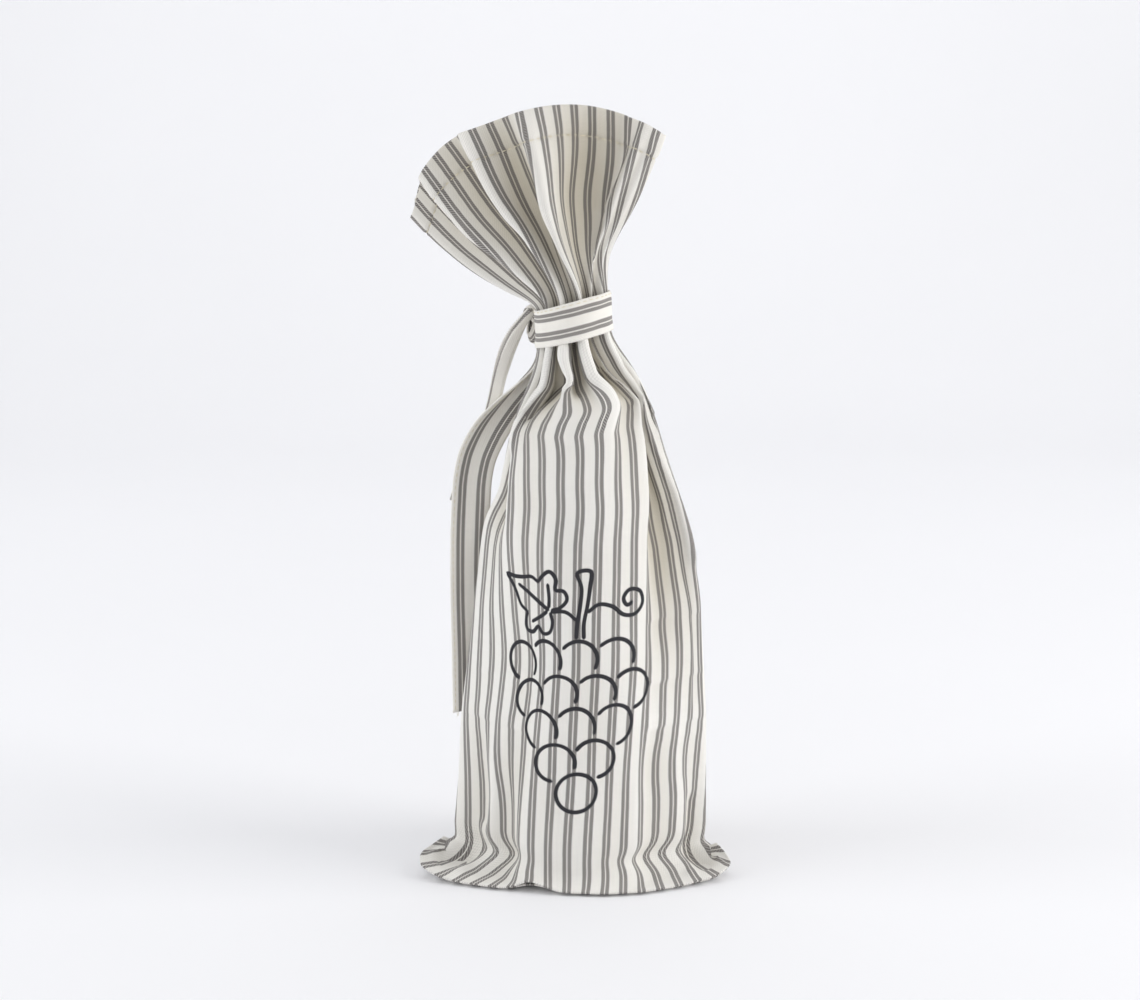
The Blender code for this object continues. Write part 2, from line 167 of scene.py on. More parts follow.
canvasLook = {
    "ground": colour(240, 238, 233),
    # the ground's colour where it is warmer at random, and the painted warm shade in folds and in the fan
    "warmGroundAndFoldShade": colour(213, 205, 186),
    "stripe": colour(80, 75, 74),
    "stripeLight": colour(106, 100, 98),
    "gap": 0.25,  # half of the light line inside a double stripe
    "reach": 2.0,  # from the middle of a double stripe to its outer edge
    "softness": 0.12,
    "warp": 0.60,  # thread spacing
    "weft": 0.62,
    "wander": 0.34,  # how far a thread strays
    "slub": 0.10,  # how much paler a thread may be than the next
    "hollow": (0.26, 0.75),  # light added on top of a thread, and left between threads
    "picks": (0.40, 0.58),  # how much of a stripe's dark a weft thread hides, and leaves
    "bump": 0.6,
    # painted shade: the next four paint the cloth warmer and darker deep in folds and in the fan, for shade
    # and warm bounce light
    "paintedFoldWarmth": 0.8,
    "foldShade": 0.20,  # painted shade: how much darker the cloth is painted at the bottom of a fold
    "fanFrom": 300.0,  # length up the cloth at which the fan begins
    "paintedFanWarmth": 0.12,
}


def makeCanvas(name, look):
    made, tree, shader = newMaterial(name)

    def calc(operation, *values, **settings):
        node = addNode(tree, "ShaderNodeMath", dict(enumerate(values)), operation=operation, **settings)
        return node.outputs[0]

    def times(first, second):
        return calc("MULTIPLY", first, second)

    def plus(first, second):
        return calc("ADD", first, second)

    def ramp(value, low, high, most=1.0):
        inputs = {"Value": value, "From Min": low, "From Max": high, "To Max": most}
        return addNode(tree, "ShaderNodeMapRange", inputs).outputs[0]

    flat = addNode(tree, "ShaderNodeUVMap", uv_map="cloth").outputs[0]
    flat = addNode(tree, "ShaderNodeVectorMath", {0: flat, 3: uvSpan}, operation="SCALE").outputs[0]
    across, along, _ = addNode(tree, "ShaderNodeSeparateXYZ", {0: flat}).outputs
    # threads wander a little, so no line is ruler straight
    wander = addNoise(tree, flat, 0.35, 3.0)
    strayed = plus(across, calc("MULTIPLY_ADD", wander, look["wander"], -look["wander"] / 2))

    # warp threads run up the cloth, weft threads across it
    warpTurn = times(strayed, math.pi / look["warp"])
    weftTurn = times(along, math.pi / look["weft"])
    onTop = calc("MULTIPLY_ADD", calc("SINE", plus(warpTurn, weftTurn)), 0.5, 0.5)
    upper = times(calc("ABSOLUTE", calc("SINE", warpTurn)), onTop)
    lower = times(calc("ABSOLUTE", calc("SINE", weftTurn)), calc("SUBTRACT", 1.0, onTop))
    weave = plus(upper, lower)

    # each thread is a little thicker or paler than the next
    slubs = []
    for x, y in ((times(strayed, 1 / look["warp"]), times(along, 0.045)),
                 (times(across, 0.05), times(along, 1 / look["weft"]))):
        grid = addNode(tree, "ShaderNodeCombineXYZ", {0: x, 1: y})
        slubs.append(addNoise(tree, grid.outputs[0], 1.0, 2.0))
    threadTone = times(plus(*slubs), look["slub"])

    # double stripe: the distance from its middle; pale weft picks show through the dark warp
    place = calc("MODULO", plus(strayed, 100 * stripeRepeat), stripeRepeat)
    away = calc("ABSOLUTE", calc("SUBTRACT", place, stripeRepeat / 2))
    inner = ramp(away, look["gap"] - look["softness"], look["gap"] + look["softness"])
    outer = ramp(away, look["reach"] + look["softness"], look["reach"] - look["softness"])
    stripe = times(times(inner, outer), calc("MULTIPLY_ADD", onTop, *look["picks"]))

    # cloth deep in a fold and in the fan is painted warmer and darker, as painted shade and warm bounce
    # light; a faint random warmth is the cloth's own tone
    depth = addNode(tree, "ShaderNodeAttribute", attribute_name="foldDepth").outputs["Fac"]
    warmthAndPaintedShade = calc("MULTIPLY_ADD", addNoise(tree, flat, 0.03, 3.0), 0.3, -0.1)
    warmthAndPaintedShade = plus(warmthAndPaintedShade, times(depth, look["paintedFoldWarmth"]))
    fan = ramp(along, look["fanFrom"], look["fanFrom"] + 30, look["paintedFanWarmth"])
    warmthAndPaintedShade = calc("ADD", warmthAndPaintedShade, fan, use_clamp=True)
    ground = mixColour(tree, warmthAndPaintedShade, look["ground"], look["warmGroundAndFoldShade"])
    dark = mixColour(tree, slubs[0], look["stripe"], look["stripeLight"])
    shade = calc("MULTIPLY_ADD", depth, -look["foldShade"], 1.0)
    tone = times(plus(threadTone, calc("MULTIPLY_ADD", weave, *look["hollow"])), shade)
    striped = mixColour(tree, stripe, ground, dark)
    toned = addNode(tree, "ShaderNodeVectorMath", {0: striped, 3: tone}, operation="SCALE")
    height = plus(weave, times(threadTone, 2.0))
    bump = addNode(tree, "ShaderNodeBump", {"Strength": look["bump"], "Distance": 0.00012, "Height": height})
    setInputs(tree, shader, {
        "Base Color": toned.outputs[0], "Normal": bump.outputs[0],
        "Roughness": calc("MULTIPLY_ADD", weave, -0.10, 0.98), "Specular IOR Level": 0.15,
        "Sheen Weight": 0.12, "Sheen Roughness": 0.6})
    return made


def makePlainCloth(name, base, warm, grain):  # thread and ink: one colour with fibre in it
    made, tree, shader = newMaterial(name)
    fibre = addNoise(tree, addNode(tree, "ShaderNodeTexCoord").outputs["Object"], grain, 4.0)
    bump = addNode(tree, "ShaderNodeBump", {"Strength": 0.3, "Distance": 0.0001, "Height": fibre})
    setInputs(tree, shader, {"Base Color": mixColour(tree, fibre, base, warm), "Normal": bump.outputs[0],
                             "Roughness": 0.9, "Specular IOR Level": 0.15})
    return made


tapeLook = dict(canvasLook, ground=colour(243, 240, 233), warmGroundAndFoldShade=colour(224, 216, 199), paintedFanWarmth=0.0)
canvas = makeCanvas("striped canvas", canvasLook)
tapeCloth = makeCanvas("striped tape", tapeLook)
seamThread = makePlainCloth("seam thread", colour(236, 229, 206), colour(214, 204, 176), 3000.0)
printInk = makePlainCloth("print ink", colour(50, 50, 54), colour(66, 65, 68), 2200.0)
print("materials made")

# The cloth's shape

bag = {
    "repeat": stripeRepeat,
    "panelRepeats": 21,
    "thick": 0.7,
    "skirtTop": 18.0,  # where the flared lower edge meets the body
    "bend": 12.0,  # radius of the turn from the floor up into a wall
    "mouth": 356.0,
    "edgeSoft": 1.4,
    "tipRadius": 3.0,
    "hemWide": 15.0,
    "hemThick": 1.5,
    "seamHalf": 0.028,
    "mostTurn": (2.1, 1.6),  # steepest turn of a fold in the body, and from the shoulder up
    "roomShare": 0.44,
    "tieLevel": 258.0,
    "gatherReach": 22.0,  # how far above and below the tie the small pleats run
    "gatherShare": 0.25,
    "evenFrom": 264.0,  # level from which the fan's folds are evened out
    "evenRounds": 24,
    "rimBulge": 9.5,  # how much fuller the fan's rim is near its left end
    "bulgeFrom": 290.0,
    "columnsPerRepeat": 8,
    "deepFold": 7.5,  # depth at which a fold's painted shade is at its warmest and darkest
    "ripple": 0.35,  # height of the faint wrinkles
    "seamGroove": (0.7, 1.4),  # how deep the side seams pull in, and how far from each
    "stitchGroove": (0.7, 1.1),  # the same along the hem's stitches
    "stitchUp": 342.5,  # level of the hem's stitches
    "pucker": 5.3,  # from one pucker of the hem to the next
    "offFloor": 0.5,
}
around = 2 * bag["panelRepeats"]

# up, left x y z, right x y z, crown, core x, core radius, front, back, drop of the back, room for folds
sections = np.array([
    (18, -57.5, 6, 18, 61.6, 2, 18, 0.1, 3, 38, -40, 46, 0, 6),
    (40, -55.4, 9, 40, 61.5, 2, 40, 0.1, 3, 38, -38.6, 45.5, 0, 7),
    (70, -53.8, 11, 70, 61, 1, 70, 0.1, 3, 38, -38.2, 45.5, 0, 8),
    (128, -47.2, 11, 128, 58, -1, 128, 0.1, 3, 37.5, -38, 46, 0, 10),
    (156, -43.5, 10, 156, 53.7, -2, 156, 0.1, 3, 37, -38, 46, 0, 11),
    (166, -41.6, 8, 166, 51, -2, 166, 0.1, 3, 36, -37.8, 44.5, 0, 11),
    (177, -35.4, 5, 177, 48, -2, 177, 0.1, 3, 34, -37.3, 42.5, 0, 11),
    (190, -33.3, 2, 189, 43, -1, 191, 0.1, 3, 31.5, -36, 39, 0, 11),
    (205, -30.5, -2, 203, 38, 0, 207, 0.1, 2.4, 27.5, -33, 34, 0, 10),
    (222, -25.5, -5, 219, 32, 0, 225, 0.1, 1.6, 22, -27.5, 27.5, 0, 9),
    (235, -19.6, -4, 231, 24.8, 0, 238, 0.1, 0.6, 17.5, -21.8, 21.8, 0, 8.5),
    (247, -15.6, -2, 243, 15, 0, 251, 0.1, -0.7, 14, -16, 16, 0, 6.8),
    (258, -15.4, 0, 254, 13.2, 0, 262, 0.1, -1.1, 13.8, -15.2, 15.2, 0, 6.4),
    (270, -15.6, 0, 265, 12.8, 0, 273, 0.5, -1.4, 13.8, -15.4, 15.2, 0, 6.8),
    (282, -24.7, 2, 267.5, 13, -2, 283, 4.5, -2.6, 13, -18, 15.4, 2, 8),
    (297, -36.5, 4, 273, 17, -4, 294, 9.7, -5, 13, -20, 15, 9, 11),
    (317, -52, 6, 282.5, 27, -6, 309, 17.7, -8, 14, -21.5, 15, 22, 13),
    (337, -65, 8, 293.5, 33.6, -8, 326, 23.9, -11, 15, -22, 15.5, 34, 9),
    (356, -74.8, 9, 304, 39.4, -8, 341, 29.6, -14, 16, -22, 16, 46, 4),
])

# where each main crest runs, in repeats, at eight levels, and how round it is (1 round, less sharper)
crestLevels = (18, 70, 165, 210, 258, 285, 310, 356)
crests = np.array([
    (1.5, 2, 2.8, 2.6, 2.2, 1.8, 1.6, 1.5, 0.8),
    (4.6, 5.4, 6.2, 6.1, 6, 4.8, 4.2, 4, 0.5),
    (8, 8.6, 9, 9.2, 9, 8.4, 8, 7.9, 0.6),
    (11.2, 11.4, 11.8, 12, 12, 12, 11.9, 11.6, 0.6),
    (14.2, 14.2, 14.2, 14.2, 14.4, 16.2, 17.8, 19.1, 0.6),
    (17, 16.8, 16.6, 17, 16.9, 17.9, 18.8, 19.6, 0.6),
    (19.6, 19.1, 18.5, 18.7, 19.2, 19.4, 19.6, 20.2, 0.7),
    (23.4, 23, 22.6, 22.7, 22.9, 23, 23.1, 23.2, 0.7),
    (27, 26.9, 26.8, 26.9, 26.9, 26.9, 27, 27.1, 0.6),
    (31.2, 31.3, 31.4, 31.3, 31.2, 31.1, 31, 31, 0.8),
    (35.2, 35.3, 35.5, 35.5, 35.5, 35.5, 35.4, 35.4, 0.6),
    (39.2, 39.5, 39.9, 39.8, 39.6, 39.5, 39.4, 39.4, 0.7),
])
frontFolds = 6

# how far two of the crests are sunk into a wide valley, by level
sunkLevels = (18, 70, 128, 165, 200, 222, 240, 258, 275, 300, 356)
sunkCrests = [4, 5]
sunkDepths = np.array([
    (0, 0, 0, 0, 0, 1, 4, 4, 1, 0, 0),
    (0, 0, 3, 8, 9, 4, 1, 0, 0, 0, 0),
])

# how much of the spare cloth each fold takes, by level
foldLevels = (18, 60, 104, 155, 205, 222, 236, 252, 270, 300, 356)
folds = np.array([
    (0.6, 0.45, 0.05, 0.3, 1.4, 1.6, 1.4, 1.1, 1.3, 1, 0.8),
    (0.5, 0.4, 0.25, 0.15, 0.15, 0.35, 0.9, 1, 1.3, 1, 0.8),
    (0.1, 0.1, 0.05, 0, 0, 0.1, 0.6, 1, 0.9, 0.8, 0.6),
    (0.15, 0.1, 0, 0, 0.3, 0.5, 0.8, 1, 0.9, 1, 0.9),
    (0.4, 0.6, 0.9, 1, 1.2, 1.1, 1, 1, 0.8, 0.6, 0.4),
    (0.4, 0.5, 0.6, 0.8, 1, 1, 1, 1, 0.8, 0.5, 0.4),
    (0.8, 0.9, 1, 1, 1, 1, 1, 1, 1, 1, 0.9),
    (1, 1, 1, 1, 1, 1, 1, 1, 1, 1, 1),
    (0.8, 0.9, 1, 1, 1, 1, 1, 1, 1, 1, 0.8),
    (0.9, 1, 1, 0.9, 1, 1, 1, 1, 1, 1, 1),
    (1, 0.9, 0.9, 1, 1, 1, 1, 1, 1, 1, 0.9),
    (0.7, 0.9, 1, 1, 1, 1, 1, 1, 1, 1, 0.9),
])

# where the bottom of each valley lies between its two crests, below the tie and in the fan: past the
# middle, the crest after it leans over the valley
valleys = np.array([
    (0.6, 0.7), (0.42, 0.72), (0.6, 0.55), (0.55, 0.72), (0.38, 0.55), (0.55, 0.5),
    (0.5, 0.5), (0.58, 0.42), (0.45, 0.6), (0.55, 0.45), (0.45, 0.55), (0.5, 0.5),
])
leanLevels = (262, 288)

# the front's cloth drawn to the right, in millimetres, by level and by repeat: none at the first and
# last repeat and at the highest level
nudgeLevels = (18, 35, 52, 104, 155, 168, 180, 194, 203, 213, 222, 240, 252)
nudgeRepeats = (2.6, 5.5, 7.5, 9.5, 11.5, 13.5, 14.5, 15.5, 17.5, 19.0)
nudges = np.pad([
    (0.3, -3.6, -4.2, -3.2, -2.2, -1.4, 1.2, 1.5),
    (0.5, -3.4, -3.6, -2.6, -2, -1.6, 1.6, 2),
    (-1.6, -2.3, -2.3, -1.8, -2, -2.3, -0.4, -0.2),
    (3.1, 4.2, 0.9, 0.9, 1.6, 1.8, 4.2, 4.5),
    (-1.8, 0.5, 1.2, 1.6, 1.8, 2.9, 5.5, 3.6),
    (-3, -0.8, 0, 0.2, 0.6, 2.4, 4.4, 3),
    (-5, -2.4, -1.4, -1.7, -0.1, 2.4, 4, 3),
    (-5.6, -2.9, -0.9, -1.6, 0.8, 2.6, 3.4, 2.4),
    (-5.2, -2.5, 0.5, 0, 2.3, 3, 3, 2),
    (-4.6, -4, -0.7, 0, 3.4, 2.8, 2.4, 1.8),
    (-4, -6, -3.2, -1.4, 3.8, 2.4, 2, 1.5),
    (-2, -2.6, -1.4, -0.6, 1, 1, 1, 1),
], ((0, 1), (1, 1)))

# repeats along the bottom seam from the left side seam, x, y, z
bottomSeam = np.array([
    (0, -62, 5, 9),
    (0.6, -67.5, -3, 7.5),
    (1.5, -73, -13, 7),
    (2.4, -72.5, -23.5, 4.5),
    (3.4, -64.5, -29.5, 1.6),
    (4.5, -55.5, -33, 0.2),
    (6.5, -38.5, -39, 0),
    (7.3, -31.6, -40.6, 0.1),
    (8.1, -25, -42.2, 2.4),
    (8.7, -19.8, -43.4, 3.4),
    (9.4, -13.8, -44.8, 2),
    (10.1, -7.8, -45.9, 0.2),
    (10.5, -4.3, -46.5, 0),
    (12.5, 12.9, -48, 0),
    (14.5, 30, -45.5, 0),
    (16.5, 47.5, -38, 0),
    (18.5, 65, -29.5, 1.4),
    (19.6, 73, -21.5, 4.7),
    (20.4, 69.5, -10.5, 7),
    (21, 66, -3, 8.5),
])


def outlineAt(up):  # a level's outline seen from above, from the left edge round the front and back
    evened = min(6, 0.45 * min(bag["mouth"] - up, up - bag["skirtTop"]) + 0.01)
    (leftX, leftY, leftZ, rightX, rightY, rightZ, crown, coreX, coreR, front, back, drop,
     room) = averaged(up, evened, sections[:, 0], sections[:, 1:])
    angle = np.linspace(math.pi, 3 * math.pi, 1441)
    outX, outY = np.cos(angle), np.sin(angle)
    tip = bag["tipRadius"]
    circles = [(coreX, front + coreR, coreR), (coreX, back - coreR, coreR),
               (leftX + tip, leftY, tip), (rightX - tip, rightY, tip)]
    reach = np.array([x * outX + y * outY + radius for x, y, radius in circles])
    turning = np.array([y * outX - x * outY for x, y, radius in circles])
    furthest = reach.max(axis=0)
    share = np.exp((reach - furthest) / bag["edgeSoft"])
    total = share.sum(axis=0)
    support = furthest + bag["edgeSoft"] * np.log(total)
    slope = (share * turning).sum(axis=0) / total
    x = support * outX - slope * outY
    y = support * outY + slope * outX
    across = np.clip((x - leftX) / (rightX - leftX), 0, 1)
    half = 0.5 * math.hypot(rightX - leftX, rightZ - leftZ)
    tilt = math.atan2(rightZ - leftZ, rightX - leftX)
    radius = (half**2 + crown**2) / (2 * crown)
    arch = np.sqrt(radius**2 - (half * (2 * across - 1)) ** 2) - (radius - crown)
    middleY = leftY + across * (rightY - leftY)
    behind = smoothStep(np.clip((y - middleY) / (back - middleY), 0, 1)) * (1 - (2 * across - 1) ** 2) ** 2
    z = leftZ + across * (rightZ - leftZ) + math.cos(tilt) * arch - drop * behind
    x = x - math.sin(tilt) * arch
    grown = np.clip((up - bag["bulgeFrom"]) / (bag["mouth"] - bag["bulgeFrom"]), 0, 1)
    bulge = bag["rimBulge"] * grown * hump(across - 0.1, 0.2)
    z = z + bulge * np.sin(0.5 * math.pi * np.clip(across / 0.08, 0, 1))
    points = np.stack([x, y, z], axis=1)
    return points, np.stack([outX, outY], axis=1), runLengths(points), room


def foldRoom(x, y):  # how deep a fold may reach in and still stay off the other side
    right = len(x) // 2
    behind = np.interp(x[:right], x[:right:-1], y[:right:-1])
    before = np.interp(x[right:], x[:right], y[:right])
    apart = np.concatenate([behind - y[:right], y[right:] - before])
    return np.maximum(bag["roomShare"] * apart - bag["thick"], 0.2)


def headings(scale, weights, cell, shape, most):
    steepest = 1.6 * most - 0.96
    return np.clip(np.minimum(scale * weights, most)[cell] * shape, -steepest, steepest)


def fillFolds(weights, cell, shape, most, step, room):  # steepness at which the cloth fills its room
    low, high = 0.0, 3.0
    for _ in range(22):
        middle = 0.5 * (low + high)
        if np.cos(headings(middle, weights, cell, shape, most)).sum() * step > room:
            low = middle
        else:
            high = middle
    return headings(low, weights, cell, shape, most)


def foldedRow(up, repeats):
    points, out, along, room = outlineAt(up)
    x, y = points[:, 0], points[:, 1]
    starts = averaged(up, 6, crestLevels, crests[:, :-1].T)
    starts = np.append(starts, starts[0] + around)
    weights = averaged(up, 6, foldLevels, folds.T)
    fine = np.linspace(starts[0], starts[-1], around * 40 + 1)
    cell = np.clip(np.searchsorted(starts, fine, side="right") - 1, 0, len(weights) - 1)
    within = (fine - starts[cell]) / (starts[cell + 1] - starts[cell])
    step = bag["repeat"] * (fine[1] - fine[0])

    # near the tie each main fold breaks up into three small pleats
    gather = bag["gatherShare"] * hump(up - bag["tieLevel"], bag["gatherReach"])
    uneven = 0.5 * np.sin(1.7 * cell + 0.6)
    roundness = np.append(crests[:, -1], crests[0, -1])
    lowest = between(up, leanLevels, valleys.T)[cell]
    early = within < lowest
    fromCrest = np.where(early, within / lowest, (1 - within) / (1 - lowest))
    turned = fromCrest ** np.where(early, roundness[cell], roundness[cell + 1])
    main = 2 * np.where(early, 1 - lowest, -lowest) * np.sin(math.pi * turned)
    shape = (1 - gather) * main + gather * np.sin(6 * math.pi * within + uneven)

    # the front's cloth fills the front of the outline, and the back's the rest
    split = np.searchsorted(fine, starts[frontFolds])
    right = len(x) // 2
    toRight, toEnd = along[right], along[-1] - along[right]
    most = np.interp(up, (215, 238), bag["mostTurn"])
    heading = np.concatenate([
        fillFolds(weights, cell[part], shape[part], most, step, length)
        for part, length in ((slice(0, split), toRight), (slice(split, None), toEnd))])
    advance = addedUp(np.cos(heading[:-1]) * step)
    depth = addedUp(np.sin(heading[:-1]) * step)
    behindShare = (advance - advance[split]) / (advance[-1] - advance[split])
    place = np.where(fine < starts[frontFolds], advance * toRight / advance[split],
                     toRight + behindShare * toEnd)
    here = np.interp(place[:split], along[:right], x[:right])
    free = np.clip((here - x[0]) / 9, 0, 1) * np.clip((x[right] - here) / 9, 0, 1)
    here = here + free * np.interp(fine[:split], nudgeRepeats, averaged(up, 8, nudgeLevels, nudges))
    place[:split] = np.interp(here, x[:right], along[:right])

    # no fold is deeper than its room
    for index in range(len(weights)):
        inside = np.flatnonzero(cell == index)
        piece = depth[inside] - depth[inside[0]]
        piece = piece - within[inside] * piece[-1]
        depth[inside] = piece * min(1.0, room / max(piece.max(), 0.01))
    sunk = np.zeros(len(crests) + 1)
    sunk[sunkCrests] = averaged(up, 6, sunkLevels, sunkDepths.T)
    ease = 0.5 - 0.5 * np.cos(math.pi * within)
    depth = np.maximum(depth + sunk[cell] + (sunk[cell + 1] - sunk[cell]) * ease, -1.0)
    clear = np.interp(place, along, foldRoom(x, y))
    depth = np.where(depth > 0, depth / (1 + (np.abs(depth) / clear) ** 3) ** (1 / 3), depth)
    wrapped = np.mod(repeats - starts[0], around) + starts[0]
    at = np.interp(wrapped, fine, place)
    inward = np.interp(wrapped, fine, depth)
    row = between(at, along, points)
    row[:, :2] -= inward[:, None] * between(at, along, out)
    return np.column_stack([row, inward])


def skirtRow(start, end, share):  # from the bottom seam level along the floor, then up into the wall
    reach = end[:, :2] - start[:, :2]
    distance = np.linalg.norm(reach, axis=1)
    rise = end[:, 2]
    radius = np.minimum(np.minimum(bag["bend"], distance), rise)
    level = distance - radius
    arc = radius * math.pi / 2
    at = share * (level + arc + rise - radius)
    angle = np.clip((at - level) / radius, 0, math.pi / 2)
    run = np.minimum(at, level) + radius * np.sin(angle)
    height = radius * (1 - np.cos(angle)) + np.maximum(at - level - arc, 0)
    plan = start[:, :2] + reach * (run / distance)[:, None]
    return np.column_stack([plan, height + start[:, 2] * (1 - share) ** 2])


# where the foot of the front is drawn in above its flare: repeats, width in repeats, millimetres to the right
tucks = [(5.0, 2.0, 5.0), (16.3, 2.6, -4.8)]


def footTuck(repeats, share):
    return sum(shift * hump(repeats - at, wide) for at, wide, shift in tucks) * hump(share - 0.72, 0.17)


levels = np.concatenate([np.arange(20, 334, 1.8), np.arange(334, 356.1, 0.8)])
levels[-1] = bag["mouth"]


def panelGrid(repeats, seamRepeats, skirtShares, lift):  # points, and how deep in a fold each one lies
    start = averaged(seamRepeats, 0.3, bottomSeam[:, 0], bottomSeam[:, 1:], 5)
    lift = lift * (1 + 0.5 * (2 * seamRepeats / bag["panelRepeats"] - 1) ** 4)
    end = foldedRow(bag["skirtTop"], repeats)
    rows, depths = [], []
    for share in skirtShares:
        row = skirtRow(start, end[:, :3], share)
        row[:, 2] += bag["offFloor"] + lift * (1 - share**3)
        row[:, 0] += footTuck(repeats, share)
        rows.append(row)
        depths.append(end[:, 3] * share)
    for up in levels:
        row = foldedRow(up, repeats)
        row[:, 2] += bag["offFloor"]
        rows.append(row[:, :3])
        depths.append(row[:, 3])
    rows, depths = np.array(rows), np.array(depths)
    # the fan's folds are evened out over a few rows
    inFan = np.clip((levels - bag["evenFrom"]) / 10, 0, 1) * np.clip((bag["mouth"] - levels) / 4, 0, 1)
    inFan = np.concatenate([np.zeros(len(skirtShares)), inFan])[:, None, None]
    for _ in range(bag["evenRounds"]):
        evened = 0.25 * rows[:-2] + 0.5 * rows[1:-1] + 0.25 * rows[2:]
        rows[1:-1] += inFan[1:-1] * (evened - rows[1:-1])
    return rows, depths


# Soft creases laid on one by one: repeats and level along each line, height (less than 0 a trough), width
# in millimetres, how wide its right side is as a share of its left, and how far its ends fade out
frontCreases = [
    ([(6.1, 250), (6, 236), (6.1, 222), (6.2, 205)], 1.7, 3.2, 0.6, 8),
    ([(7.1, 244), (7, 232), (6.9, 220)], -3.2, 4, 0.8, 8),
    ([(4.2, 246), (4.4, 232), (4.6, 218)], -2.4, 4.5, 1, 8),
    ([(8.7, 248), (8.8, 240), (9, 232)], 2.2, 4.2, 1.4, 4),
    ([(10.4, 248), (10.3, 238), (10.2, 229)], -2.6, 3.4, 0.7, 6),
    ([(11.6, 250), (11.5, 238), (11.4, 226)], 2, 4, 1.3, 10),
    ([(16.9, 252), (17.1, 230), (17.5, 205), (18.1, 180), (18.4, 150)], 1.5, 2.6, 1, 8),
    ([(17.6, 246), (17.8, 230), (18.2, 212)], -1.4, 2, 1, 8),
    ([(15.6, 215), (15.5, 190), (15.4, 160), (15.4, 120)], -2, 8, 1, 20),
    ([(4, 345), (4.3, 316)], 1, 2.8, 1.4, 14),
    ([(7.9, 350), (8.1, 318)], 1.2, 2.8, 1.3, 14),
    ([(11.7, 342), (12, 312)], 1.2, 2.8, 1.2, 14),
    ([(17.6, 350), (16.8, 314)], 1.4, 2.8, 1.6, 14),
    ([(1.2, 4), (1.4, 8), (1.7, 11)], 3.4, 5.5, 1.1, 3),
    ([(2.6, 6), (2.9, 9), (2.9, 11)], -2.2, 4.6, 0.7, 2.5),
    ([(3.8, 5), (3.8, 12), (3.7, 18)], 1.8, 3.6, 1.6, 5),
    ([(8.5, 0), (8.5, 7)], 1, 5, 1, 5),
    ([(19.8, 4), (19.7, 8), (19.5, 11)], 2.8, 5, 1, 3),
    ([(18.7, 6), (18.6, 9), (18.5, 11)], -1.8, 4, 1, 2.5),
    ([(18.3, 14), (18.2, 30)], -1.4, 3.4, 1, 6),
    ([(17.6, 6), (17.6, 14)], 1.4, 4, 1, 5),
    ([(12.8, 300), (12.9, 280)], -1.2, 3, 1, 14),
]

# a pleat's pointed end: repeats, level, pull to the right, width on its left and right in repeats, height
pointedPleats = [(8.5, 232.0, 7.0, 1.8, 0.8, 12.0)]


def pleatPull(repeats, ups):  # strongest at the point and gone a little above and below it
    total = np.zeros((len(ups), len(repeats)))
    for at, level, pull, left, right, tall in pointedPleats:
        near = np.clip(1 - np.abs(ups - level) / tall, 0, 1) ** 1.3
        away = (repeats - at) / np.where(repeats < at, left, right)
        total += pull * near[:, None] * hump(away, 1)
    return total


def creaseHeight(repeats, ups, creases):
    total = np.zeros((len(ups), len(repeats)))
    for line, high, wide, right, fade in creases:
        at, up = np.array(sorted(line, key=lambda point: point[1])).T
        middle = np.interp(ups, up, at)
        ends = np.clip((ups - up[0]) / fade + 1, 0, 1) * np.clip((up[-1] - ups) / fade + 1, 0, 1)
        away = (repeats - middle[:, None]) * bag["repeat"]
        total += high * smoothStep(ends)[:, None] * hump(away, np.where(away > 0, wide * right, wide))
    return total


def wrinkles(repeats, ups, seed, high):  # faint long ripples of hung cloth
    chance = np.random.default_rng(seed)
    across = repeats * bag["repeat"]
    total = np.zeros((len(ups), len(repeats)))
    for _ in range(16):
        wide = chance.uniform(14, 46)
        tall = chance.uniform(60, 260) * chance.choice([-1, 1])
        total += chance.uniform(0.4, 1.0) * np.sin(
            2 * math.pi * (across / wide + ups[:, None] / tall) + chance.uniform(0, 2 * math.pi))
    return high * total / 4


def buildPanel(name, across, seamRepeats, shares, lift, creases, seed):
    grid, depths = panelGrid(across, seamRepeats, shares, lift)
    ups = np.concatenate([bag["skirtTop"] * shares, levels])
    calm = np.clip(ups / 40, 0, 1) * np.clip((bag["mouth"] - ups) / 40 + 0.3, 0, 1)
    out = creaseHeight(across, ups, creases) + wrinkles(across, ups, seed, bag["ripple"]) * calm[:, None]
    # the side seams pull in
    fromSeam = np.minimum(across - across[0], across[-1] - across) * bag["repeat"]
    deep, reach = bag["seamGroove"]
    out -= deep * hump(fromSeam, reach) * np.clip(ups / 30, 0, 1)[:, None]
    # the hem's stitch line sits in a groove
    deep, reach = bag["stitchGroove"]
    pucker = 1 + 0.5 * np.sin(across * bag["repeat"] * 2 * math.pi / bag["pucker"])
    out -= deep * hump(ups - bag["stitchUp"], reach)[:, None] * pucker
    grid = grid + gridNormals(grid) * out[..., None]
    grid[..., 0] += pleatPull(across, ups)
    grid[..., 2] = np.maximum(grid[..., 2], 0.45 + 0.7 * (lift > 0))
    lengths = runLengths(grid[:, len(across) // 2])
    uv = np.stack(np.meshgrid(across * bag["repeat"], lengths), axis=-1)
    panel = addGrid(name, grid, uv, canvas)
    # painted shade: how deep each point lies in a fold, which the canvas paints warmer and darker
    shade = panel.data.attributes.new("foldDepth", "FLOAT", "POINT")
    deep = depths - out * np.clip(ups / 20, 0.3, 1)[:, None]
    deep *= np.interp(ups, (20, 80), (0.45, 1.0))[:, None]  # the foot lies more open to the light
    shade.data.foreach_set("value", np.clip(deep.ravel() / bag["deepFold"], 0, 1))
    hem = panel.vertex_groups.new(name="hem")
    single = int(sum(ups < bag["mouth"] - bag["hemWide"])) * len(across)
    hem.add(list(range(single)), bag["thick"] / bag["hemThick"], "REPLACE")
    hem.add(list(range(single, len(ups) * len(across))), 1.0, "REPLACE")
    thicken(panel, bag["hemThick"]).vertex_group = hem.name
    return panel, grid, ups


